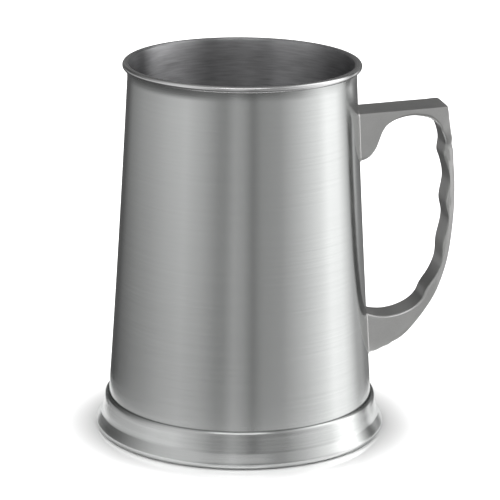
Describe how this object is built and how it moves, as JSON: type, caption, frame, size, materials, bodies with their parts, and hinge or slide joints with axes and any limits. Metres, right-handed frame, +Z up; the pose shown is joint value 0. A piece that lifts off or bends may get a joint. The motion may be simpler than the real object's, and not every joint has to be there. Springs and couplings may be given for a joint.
{
  "type": "tankard",
  "caption": "Tapered metal tankard with a rolled rim, a flared foot and a cast loop handle with finger scallops.",
  "frame": {"origin": "on the body's axis, in the plane of the resting face, which is the middle of the base plate's underside", "axes": "+Z up along the body's axis; +X from the axis towards the handle; XZ is the plane of symmetry"},
  "size_m": [0.1367, 0.1096, 0.14],
  "materials": {
    "brushed_body": "brushed round the body, satin",
    "spun_foot": "spun, satin",
    "plain_sheet": "brushed round, matt",
    "base_sheet": "turned, matt",
    "satin_casting": "cast, linished to a satin",
    "dressed_weld": "dressed and buffed"
  },
  "bodies": {
    "root": {"body_wall": "brushed_body", "cup_bottom": "plain_sheet", "bottom_seam_weld": "dressed_weld", "foot_ring": "spun_foot", "base_plate": "base_sheet", "handle": "satin_casting", "upper_handle_weld": "dressed_weld", "lower_handle_weld": "dressed_weld"}
  },
  "joints": []
}
